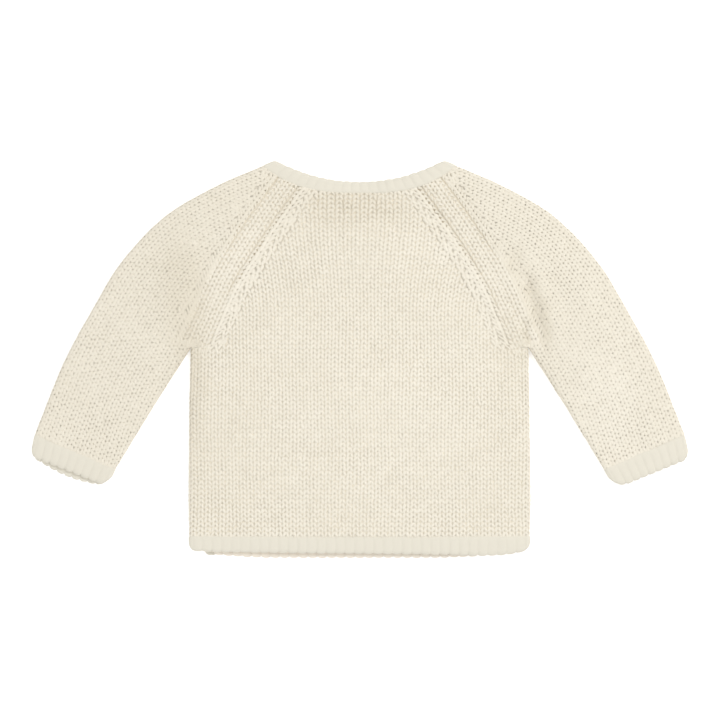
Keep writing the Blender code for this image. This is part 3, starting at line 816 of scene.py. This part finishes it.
def back_places():
    """Places of the back's stitches."""
    places = grid_of_places(np.arange(-27, 28) + 0.0, np.arange(0, 78) + 0.05)
    y = HEM_SEAM_Y + (places[:, 1] + STITCH_MIDDLE) * COURSE
    out = fanned(np.abs(places[:, 0]) * WALE, y)
    from_border = raglan_distance(out, y) - BORDER
    keep = (from_border > -0.05 * WALE) & (out < half_width(y) + 0.0075) & below_neck(out, y)
    keep &= (y < UNDERARM[1]) | (out < half_width(y))
    move, lean, places[:, 3] = snug(from_border, WALE)
    side = np.sign(places[:, 0])
    places[:, 0] -= side * move * 1.2 / WALE
    places[:, 2] = -side * lean
    return places[keep]


def lay_border(side, towards):
    """Lays flat points along a raglan seam: across from the seam, up from the underarm."""

    def lay(across, up, lift):
        past_top = np.maximum(up - RAGLAN_LENGTH[-1], 0.0)
        out, y = point_at(raglan, RAGLAN_LENGTH, up)
        at = np.clip(up, 0.0, RAGLAN_LENGTH[-1] - 0.002)
        ahead, behind = (point_at(raglan, RAGLAN_LENGTH, at + way) for way in (0.006, -0.006))
        run, rise = ahead[0] - behind[0], ahead[1] - behind[1]
        shift = across * towards / np.hypot(run, rise)
        x = side * (out - 0.75 * past_top - shift * rise)
        y = y + 0.66 * past_top + np.minimum(up, 0.0) + shift * run
        return x, y, level(x, y) + lift - tuck(x, y)

    return lay


def border_patch(side, towards):
    """The two columns on one side of a raglan seam: towards is 1 on the body, -1 on the arm."""
    places = grid_of_places((0.45, 1.46), np.arange(0.2, RAGLAN_LENGTH[-1] / BORDER_COURSE + 3.0))
    start, rows, most = (0.0, 20.0, 1.0) if towards > 0 else (14.0, 14.0, 1.3)
    open_at = most * smooth((places[:, 1] - start) / rows)
    places[:, 3] = np.where(places[:, 0] > 1.0, open_at, -0.1)
    lay = lay_border(side, towards)
    x, y, _ = lay(places[:, 0] * BORDER_WALE, (places[:, 1] + STITCH_MIDDLE) * BORDER_COURSE, 0.0)
    return knit_points(places[below_neck(x, y)], lay, BORDER_WALE, BORDER_COURSE)


places = back_places()
split = HEM_SEAM_Y + places[:, 1] * COURSE < -0.022
borders = [border_patch(side, 1) for side in (-1, 1)]
back_low = knit_piece("back_stitches_low", [knit_points(places[split], lay_back)])
back_high = knit_piece("back_stitches_high", [knit_points(places[~split], lay_back)] + borders)

# %% [markdown]
# ## Stitches of the sleeves
# A sleeve's columns run along the arm, beside the shoulder fold, and its rows lean with the
# cuff. So a flat point is a distance in from the fold and a distance up from the cuff, and the
# rows turn slowly on the way to the neck.

# %% Lay and knit the sleeves
SLEEVE_WALE = 0.00520
SLEEVE_COURSE = 0.00372
ROW_LEAN = (24.0, 25.0)  # degrees at the cuff, and what is added on the way to the neck
# Ways out and up: on past the cuff seam, on past the neck seam, and out over the lower fold
PAST_CUFF, PAST_NECK, PAST_FOLD = (0.42, -0.91), (-0.92, 0.40), (-0.85, -0.53)


def sleeve_point(across, up):
    """Place of a flat point between the ends of a sleeve, and the lean of its row."""
    out, y = point_at(shoulder, SHOULDER_LENGTH, up)
    turn = np.clip(up / SHOULDER_LENGTH[-1], 0.0, 1.0) ** 1.3
    lean = np.radians(ROW_LEAN[0] + ROW_LEAN[1] * turn)
    return out - np.cos(lean) * across, y - np.sin(lean) * across, lean


def lay_sleeve(side):
    """Lays flat points on a sleeve: across in from the shoulder fold, up from the cuff seam."""

    def lay(across, up, lift):
        out, y, lean = sleeve_point(across, up)
        past_cuff, past_neck = np.maximum(-up, 0.0), np.maximum(up - SHOULDER_LENGTH[-1], 0.0)
        out = out + PAST_CUFF[0] * past_cuff + PAST_NECK[0] * past_neck
        y = y + PAST_CUFF[1] * past_cuff + PAST_NECK[1] * past_neck
        top = level(side * out, y)
        low_inside = from_lower_edge(out, y) + np.where(y > UNDERARM[1], 0.01, 0.0)
        at_shoulder = across < low_inside
        inside = np.where(at_shoulder, across, low_inside)
        way_out = np.where(at_shoulder, np.cos(lean), PAST_FOLD[0])
        way_y = np.where(at_shoulder, np.sin(lean), PAST_FOLD[1])
        lift = lift - tuck(out, y)
        return bend_over(side * out, y, top, lift, inside, side * way_out, way_y, top / 2.0)

    return lay


def sleeve_places():
    """Places of a sleeve's stitches."""
    places = grid_of_places(np.arange(-1, 18) + 0.1, np.arange(0, 78) + 0.05)
    up = (places[:, 1] + STITCH_MIDDLE) * SLEEVE_COURSE
    out, y, _ = sleeve_point(places[:, 0] * SLEEVE_WALE, up)
    edge = from_lower_edge(out, y) + 0.0008
    on_cap = y > UNDERARM[1] + 0.004
    keep = np.where(on_cap, edge > BORDER - 0.05 * SLEEVE_WALE, edge > -0.0060)
    keep &= below_neck(out, y) & (up < SHOULDER_LENGTH[-1] + 0.006)
    move, lean, tight = snug(np.where(on_cap, edge - BORDER, 1.0), SLEEVE_WALE)
    places[:, 0] -= move / SLEEVE_WALE
    places[:, 2] = -lean
    places[:, 3] = tight * (0.6 - 1.0 * smooth((y - 0.060) / 0.030))
    places[:, 3] -= 1.02 + 0.10 * smooth(1.0 - up / 0.030)
    return places[keep]


for side, word in SIDE_WORDS.items():
    patch = knit_points(sleeve_places(), lay_sleeve(side), SLEEVE_WALE, SLEEVE_COURSE, (0.24, 60.0))
    patches = [patch, border_patch(side, -1)]
    knit_piece(f"sleeve_{word}_stitches", patches)

# %% [markdown]
# ## The dark between the stitches
# Where the knit is stretched, beside the raglan borders and below the neck, the holes are deep
# and look brown, because the light that enters them is lost between the fibres. Here the ground
# is a plain wall that would throw the light back, so painted shade tones it darker along those
# lines.

# %% Tone the ground


def tone_ground(piece):
    """Tones a wall darker with painted shade, by its slack spots and by two lines along the raglan
    seam.
    """
    points = np.empty(3 * len(piece.data.vertices))
    piece.data.vertices.foreach_get("co", points)
    x, y = points.reshape(-1, 3)[:, 0], points.reshape(-1, 3)[:, 1]
    beside = np.abs(raglan_distance(np.abs(x), y)) - BORDER
    lines = np.exp(-((beside / 0.0024) ** 2)) * smooth((y - 0.02) / 0.05)
    tones = 0.90 - 0.85 * lines - 0.55 * np.clip(slackness(x, y), 0.0, 1.0)
    piece.data.attributes["tone"].data.foreach_set("value", tones.astype(np.float32))
    return float(tones.min())


grounds = (back_cloth, *sleeve_cloths.values())
print("darkest tones of the ground:", [round(tone_ground(piece), 2) for piece in grounds])

# %% [markdown]
# ## Edge bands
# Hem, cuffs and neck end in a smooth, plump band. Its short fat loops lie side by side, with a
# faint groove between them, and they draw the free edge into small waves. A band is a row of
# rings, each the band's section, and a function makes each ring fatter on a loop than in a
# groove. The hems of the two fronts, which lie beneath, are a little warmer, and lighter with
# painted light against the shadow that the back's hem throws on them.

# %% Band material and section
CORNER_SHARE = 0.52  # share of a band's depth that is left in a fold
CORNER_ANGLES = (90.0, 70.0, 50.0, 30.0, 15.0)
LOOP_WIDTH = 0.0072
LOOP_RISE = 0.0006
LOOP_SCALLOP = 0.07
LOOP_STEPS = 8  # rings in each loop
STRAND_PITCH = 0.0012
FOLD_STAND, PLAIN_STAND = 0.6, 0.35  # how far a band stands in a fold, and without loops
BAND_YARN = (0.0, 1.1, 1.2, 0.25, 2200.0)
BAND = strand_material("cotton_band", (0.790, 0.750, 0.645), (0.730, 0.690, 0.588), *BAND_YARN)
# Warmer cotton, and lighter with painted light against the shadow that the back's hem throws on the
# hems beneath
BENEATH = strand_material(
    "cotton_band_beneath", (0.915, 0.845, 0.742), (0.860, 0.788, 0.680), *BAND_YARN)


def band_section(rise_from=0.0):
    """Rows of a band's section: share of its depth, of its thickness and of the loops' rise."""
    top = [(-0.10, 0.60, 0.0), (-0.08, 0.86, 0.0), (0.02, 1.00, 0.2), (0.13, 1.05, 0.7)]
    top += [(down, 1.08, 1.0) for down in (0.26, 0.42, 0.58, 0.72)]
    top += [(0.84, 1.04, 0.9), (0.93, 0.88, 0.6), (0.98, 0.64, 0.3), (1.0, 0.42, 0.0)]
    rows = [(rise_from + (1.0 - rise_from) * down, thick, rise) for down, thick, rise in top]
    if rise_from:
        rows = [(0.0, 1.0, 0.0)] + rows
    return rows + [(0.97, 0.14, 0.0), (0.90, 0.0, 0.0), (0.0, 0.0, 0.0)]


SECTION = band_section()


def band_ring(seam, free, loop, section=SECTION):
    """A ring of a band between its pairs at the seam and the free edge. loop is 0 in a groove."""
    seam_outer, seam_inner, free_outer, free_inner = (np.array(p) for p in (*seam, *free))
    ring = []
    for down, thick, rise in section:
        if down > 0.8:
            down *= 1.0 - LOOP_SCALLOP * (1.0 - loop)
        outer = seam_outer + (free_outer - seam_outer) * down
        inner = seam_inner + (free_inner - seam_inner) * down
        normal = (outer - inner) / np.linalg.norm(outer - inner)
        stand = rise * (loop - PLAIN_STAND) * LOOP_RISE
        ring.append(inner + (outer - inner) * thick + normal * stand)
    return ring


def flat_ring(seam, free, floor, loop, section=SECTION):
    """A ring of a flat band between a point of its seam and one of its free edge."""
    pairs = []
    for x, y in (seam, free):
        base = float(floor(x, y))
        pairs.append(((x, y, base + CLOTH), (x, y, base)))
    return band_ring(*pairs, loop, section)


def loop_places(start, stop):
    """Places from start to stop, and how far the loop stands at each."""
    loops = round(abs(stop - start) / LOOP_WIDTH)
    shares = np.linspace(0.0, loops, loops * LOOP_STEPS + 1)
    sizes = shake.normal(1.0, 0.10, loops + 1)
    stands = np.sqrt(np.abs(np.sin(math.pi * shares))) * sizes[shares.astype(int)]
    return [(start + (stop - start) * s / loops, stand) for s, stand in zip(shares, stands)]


def band_piece(name, rings, node, closed=False, material=BAND):
    """A band lofted through its rings, closed on itself or capped at both ends."""
    grid = np.array(rings)
    count, around = grid.shape[:2]
    faces = grid_faces(count, around, closed=closed)
    if not closed:
        faces += [tuple(range(around))[::-1], tuple(range((count - 1) * around, count * around))]
    piece = make_piece(name, grid, faces, material, 0.2, [node])
    # Every face of the closed form is turned outwards
    form = bmesh.new()
    form.from_mesh(piece.data)
    bmesh.ops.recalc_face_normals(form, faces=form.faces)
    form.to_mesh(piece.data)
    form.free()
    length = np.repeat(lengths_along(grid.mean(axis=1)) / STRAND_PITCH, around)
    set_uv(piece, "strand", np.stack((length, np.tile(np.arange(around), count)), 1))
    return piece


print("a band's section has", len(SECTION), "points")

# %% [markdown]
# ## Hems
# The back's hem goes from side fold to side fold and sags a little towards one side. Below it
# the outer front's hem shows as a narrow lens of small loops, because that front was laid down a
# few millimetres longer, and the soft shadow between the two tells the eye that there are layers.

# %% Hem bands
HEM_DEPTH = 0.0107
# x and depth, in millimetres
BACK_HEM = 0.001 * np.array((
    (-130.5, 11), (-110, 12.1), (-40, 12.9), (30, 13.6), (70, 14.1),
    (92, 14.9), (106, 14.8), (116, 13.7), (124, 12), (130.5, 11),
)).T
OUTER_HEM = 0.001 * np.array((
    (-111.7, 14.6), (-100, 15.7), (-85, 16.5), (-65, 17.1), (60, 17.1), (78, 16.5),
    (92, 15.5), (106, 15.1), (116, 13.9), (124, 12.1), (130.5, 11),
)).T


def hem_ring(x, depth, floor, loop, section=SECTION):
    """A ring of a hem band where it lies flat."""
    seam, free = (x, HEM_SEAM_Y - HALF_SEAM), (x, HEM_SEAM_Y - depth)
    return flat_ring(seam, free, floor, loop, section)


def back_hem_floor(x, y):
    """Underside of the back's hem."""
    return top_floor(x, y) + creases(x, y)


def hem_corner(side, upper, section=SECTION):
    """Rings of a hem band round a side fold, and the x where they end."""
    edge, inward, levels = side_fold(HEM_SEAM_Y, side)
    rings = []
    for angle in CORNER_ANGLES:
        ends = []
        for depth in (0.0, HEM_DEPTH * (1.0 - (1.0 - CORNER_SHARE) * (angle / 90.0) ** 2)):
            at = np.array((edge[0], HEM_SEAM_Y - HALF_SEAM - depth))
            pair = fold_pairs(at, inward, upper, [angle], levels, 0.0)[0]
            ends.append(pair if upper else pair[::-1])
        rings.append(band_ring(*ends, FOLD_STAND, section))
    return rings, edge[0] + inward[0] * (levels[1] - levels[0]) / 2.0


def make_back_hem():
    """Hem band of the back."""
    (left, start), (right, stop) = (hem_corner(side, True) for side in (-1, 1))
    flat = [hem_ring(x, np.interp(x, *BACK_HEM), back_hem_floor, loop)
            for x, loop in loop_places(start, stop)]
    return band_piece("hem_back_loops", left + flat + right[::-1], "hem_back")


def make_front_hem(name, side):
    """Hem band of a front, whose loops stand up only where they show past the back's hem."""
    section = band_section(rise_from=0.62)
    rings, start = hem_corner(side, False, section)
    stop = -side * (float(wrap_seam(HEM_SEAM_Y, side)) - HALF_SEAM)
    for x, loop in loop_places(start, stop):
        depth, stand = (np.interp(x, *OUTER_HEM), loop) if side > 0 else (HEM_DEPTH, PLAIN_STAND)
        rings.append(hem_ring(x, depth, FRONT_FLOOR[side], stand, section))
    return band_piece(name + "_loops", rings, name, material=BENEATH)


hem_back = make_back_hem()
hem_right = make_front_hem("hem_front_right", 1)
hem_left = make_front_hem("hem_front_left", -1)
print("hem rings:", len(hem_back.data.vertices) // len(SECTION))

# %% [markdown]
# ## Cuffs
# A cuff is the same band round the end of a flat tube, with well rounded corners. On one arm the
# under layer hangs out past the upper one in the middle, so its loops peep out below it.

# %% Cuff bands
CUFF_END = {-1: (0.2525, -0.0747, 0.1937, -0.0980), 1: (0.2530, -0.0765, 0.1962, -0.0998)}
CUFF_BELLY = {-1: 0.0042, 1: 0.0}
CUFF_CORNERS = {  # how far each corner is drawn back, over which length
    -1: ((0.0035, 0.0045), (0.0076, 0.0100)),
    1: ((0.0045, 0.0055), (0.0088, 0.0125)),
}
CUFF_LOOPS = 9


def cuff_ring(line, side, shift):
    """Pairs round a cuff's section on one line, with the loop of each and its layer."""
    fold, edge = (np.array(point) * (side, 1.0) + shift for point in (line[:2], line[2:]))
    way = (edge - fold) / np.linalg.norm(edge - fold)
    start, stop = fold + way * PAIR / 2.0, edge - way * PAIR / 2.0
    shares = np.linspace(1.0, 0.0, CUFF_LOOPS * LOOP_STEPS + 1)
    stands = np.sqrt(np.abs(np.sin(math.pi * CUFF_LOOPS * shares)))

    def turn(at, inward, upper, angles):
        pairs = fold_pairs(at, inward, upper, angles, sink=0.0)
        return [(pair, FOLD_STAND, upper) for pair in pairs]

    def flat(upper):
        outer, inner = (PAIR, PAIR - CLOTH) if upper else (0.0, CLOTH)
        points = [start + (stop - start) * share for share in shares]
        return [(((x, y, outer), (x, y, inner)), stand, upper)
                for (x, y), stand in zip(points, stands)]

    return [
        *turn(edge, -way, True, FOLD_ANGLES[:-1]), *flat(True),
        *turn(fold, way, True, FOLD_ANGLES[-2::-1]), *turn(fold, way, False, FOLD_ANGLES[1:-1]),
        *flat(False)[::-1], *turn(edge, -way, False, FOLD_ANGLES[-2::-1]),
    ]


def make_cuff(side):
    """A cuff, with its loops on the upper layer."""
    fold, edge = sleeve_section(ARM_SHARE)
    width = np.linalg.norm(edge - fold)
    across = (edge - fold) / width
    down = np.array((-across[1] * side, across[0])) * 2.0 * HALF_SEAM
    rings = []
    seam, ends = cuff_ring((*fold, *edge), side, down), cuff_ring(CUFF_END[side], side, 0.0)
    for (start, loop, upper), (end, *_) in zip(seam, ends):
        start, end = np.array(start), np.array(end)
        place = float(np.clip(np.dot(start[0][:2] * (side, 1.0) - fold, across), 0.0, width))
        cut = 0.0
        for past_fold, (most, reach) in zip((place, width - place), CUFF_CORNERS[side]):
            cut += most * (1.0 - math.sqrt(1.0 - max(1.0 - past_fold / reach, 0.0) ** 2))
        belly = 0.0 if upper else CUFF_BELLY[side] * math.sin(math.pi * place / width)
        end = start + (end - start) * (1.0 + (belly - cut) / np.linalg.norm(end[0] - start[0]))
        section = [(down, thick, rise if upper else 0.0) for down, thick, rise in SECTION]
        rings.append(band_ring(start, end, loop, section))
    name = f"cuff_{SIDE_WORDS[side]}"
    return band_piece(name + "_loops", rings, name, closed=True)


cuffs = {side: make_cuff(side) for side in SIDE_WORDS}
print("cuff loops on each layer:", CUFF_LOOPS)

# %% [markdown]
# ## Neckband and wrap bands
# The neckband follows the scoop over both shoulders. Under the shoulder fold it carries on as
# the plain band down the free edge of each front, which lies hidden between the layers.

# %% Neck and wrap bands
TAPER = (0.97, 0.92, 0.82, 0.68, 0.55)  # width of a wrap band in its rounded corner


def neck_end(side, angle, upper):
    """Pairs of the neckband where it turns round the shoulder."""
    ends = []
    for scoop, gap in ((NECK_SEAM, HALF_SEAM), (NECK_EDGE, 0.0)):
        edge, inward = np.array(((side * scoop[0], 0.0), (-side, 0.0)))
        pair = fold_pairs(edge, inward, upper, [angle], sink=0.0)[0]
        ends.append(tuple((x, scoop_y(scoop, x) + gap, z) for x, _, z in pair))
    return ends


def make_neckband():
    """Band round the back of the neck, from one shoulder fold to the other."""
    left, right = (
        [band_ring(*neck_end(side, a, True), FOLD_STAND) for a in CORNER_ANGLES]
        for side in (-1, 1)
    )
    rings = []
    for x, loop in loop_places(-NECK_SEAM[0] + PAIR / 2.0, NECK_SEAM[0] - PAIR / 2.0):
        edge_x = x * NECK_EDGE[0] / NECK_SEAM[0]
        seam = (x, scoop_y(NECK_SEAM, x) + HALF_SEAM)
        rings.append(flat_ring(seam, (edge_x, scoop_y(NECK_EDGE, edge_x)), top_floor, loop))
    return band_piece("neckband_loops", left + rings + right[::-1], "neckband")


def wrap_path(side):
    """Points of a front's band seam, from the shoulder to the hem."""
    scooped = [
        np.array((side * out, scoop_y(NECK_SEAM, out) + HALF_SEAM))
        for out in np.linspace(NECK_SEAM[0] - PAIR / 2.0, RAGLAN_TOP[0], 5)
    ]
    end_y = HEM_SEAM_Y - (OUTER_HEM[1, 0] if side > 0 else HEM_DEPTH)
    heights = [*np.linspace(RAGLAN_TOP[1], end_y + 0.006, 90)[1:]]
    heights += [end_y + above for above in (0.0040, 0.0024, 0.0011, 0.0003, 0.0)]
    return scooped + [np.array((-side * float(wrap_seam(y, side)), y)) for y in heights]


def make_wrap_band(side):
    """Plain band down a front's free edge."""
    path = wrap_path(side)
    widths = [1.0] * (len(path) - len(TAPER)) + [*TAPER]
    neck_mitre = np.array((
        side * (NECK_EDGE[0] - NECK_SEAM[0]),
        scoop_y(NECK_EDGE, NECK_EDGE[0]) - scoop_y(NECK_SEAM, NECK_SEAM[0]),
    ))
    rings = [band_ring(*(pair[::-1] for pair in neck_end(side, angle, False)), PLAIN_STAND)
             for angle in (90.0, 60.0, 30.0)]
    for n, (point, width) in enumerate(zip(path, widths)):
        ahead = path[min(n + 1, len(path) - 1)] - path[max(n - 1, 0)]
        across = np.array((ahead[1], -ahead[0])) * side / np.linalg.norm(ahead)
        seam = point + across * HALF_SEAM
        turn = float(smooth(n / 8.0))
        free = point + neck_mitre * (1.0 - turn) + across * WRAP_BAND_WIDTH * width * turn
        rings.append(flat_ring(seam, free, FRONT_FLOOR[side], PLAIN_STAND))
    name = f"wrap_band_{SIDE_WORDS[side]}"
    return band_piece(name + "_edge", rings, name)


neckband = make_neckband()
wrap_bands = {side: make_wrap_band(side) for side in SIDE_WORDS}
print("neckband points:", len(neckband.data.vertices))

# %% [markdown]
# ## The cloth panels
# The garment is cloth, in five panels: the back, two fronts and two sleeves.

print("cloth panels: back, two fronts and two sleeves")

# %% [markdown]
# ## Studio
# A cut-out on white is nearest to a pale floor under broad, soft light. One lamp from the upper
# right models the creases and the stitches: it stands across the folds, because a lamp along a
# fold hides it. A large one opposite opens the shadows. The paper glows a little, as painted
# light that lifts the shadows round the garment and keeps the paper white up to the outline.
# The camera looks straight down with a long lens, so the outline keeps its true shape.

# %% Floor, light and camera
scene = bpy.context.scene


def add_thing(name, data, place):
    """Puts an object into the scene at a place."""
    thing = bpy.data.objects.new(name, data)
    thing.location = place
    scene.collection.objects.link(thing)
    return thing


def add_lamp(name, place, size, power):
    """A square area lamp aimed at the middle of the garment."""
    data = bpy.data.lights.new(name, "AREA")
    data.size = size
    data.energy = power
    x, y, z = place
    lamp = add_thing(name, data, place)
    lamp.rotation_euler = math.atan2(math.hypot(x, y), z), 0.0, math.atan2(-y, -x) - math.pi / 2.0


paper = bpy.data.materials.new("paper_white")
paper.use_nodes = True
# The paper's emission is painted light: a glow that lifts the shadows round the garment
fill(paper.node_tree, paper.node_tree.nodes["Principled BSDF"], Roughness=0.8,
     Base_Color=(0.97, 0.97, 0.97, 1.0), Emission_Color=(1.0, 1.0, 1.0, 1.0),
     Emission_Strength=0.3)
sheet_of_paper = bpy.data.meshes.new("floor")
sheet_of_paper.from_pydata([(-3, -3, 0), (3, -3, 0), (3, 3, 0), (-3, 3, 0)], [], [(0, 1, 2, 3)])
sheet_of_paper.materials.append(paper)
add_thing("floor", sheet_of_paper, (0.0, 0.0, -0.0004))

world = bpy.data.worlds.new("soft_sky")
world.use_nodes = True
fill(world.node_tree, world.node_tree.nodes["Background"], Color=(1.0, 1.0, 1.0, 1.0),
     Strength=0.60)
scene.world = world
add_lamp("key_lamp", (1.2, 0.9, 1.9), 1.0, 28.0)
add_lamp("fill_lamp", (-0.9, -0.9, 1.6), 1.8, 12.0)

camera_data = bpy.data.cameras.new("camera")
camera_data.lens = 100.0
camera_data.sensor_width = 36.0
scene.camera = add_thing("camera", camera_data, (0.0003, -0.0008, 1.537))
scene.view_settings.view_transform = "Standard"
print("height of the camera in metres:", round(scene.camera.location.z, 3))
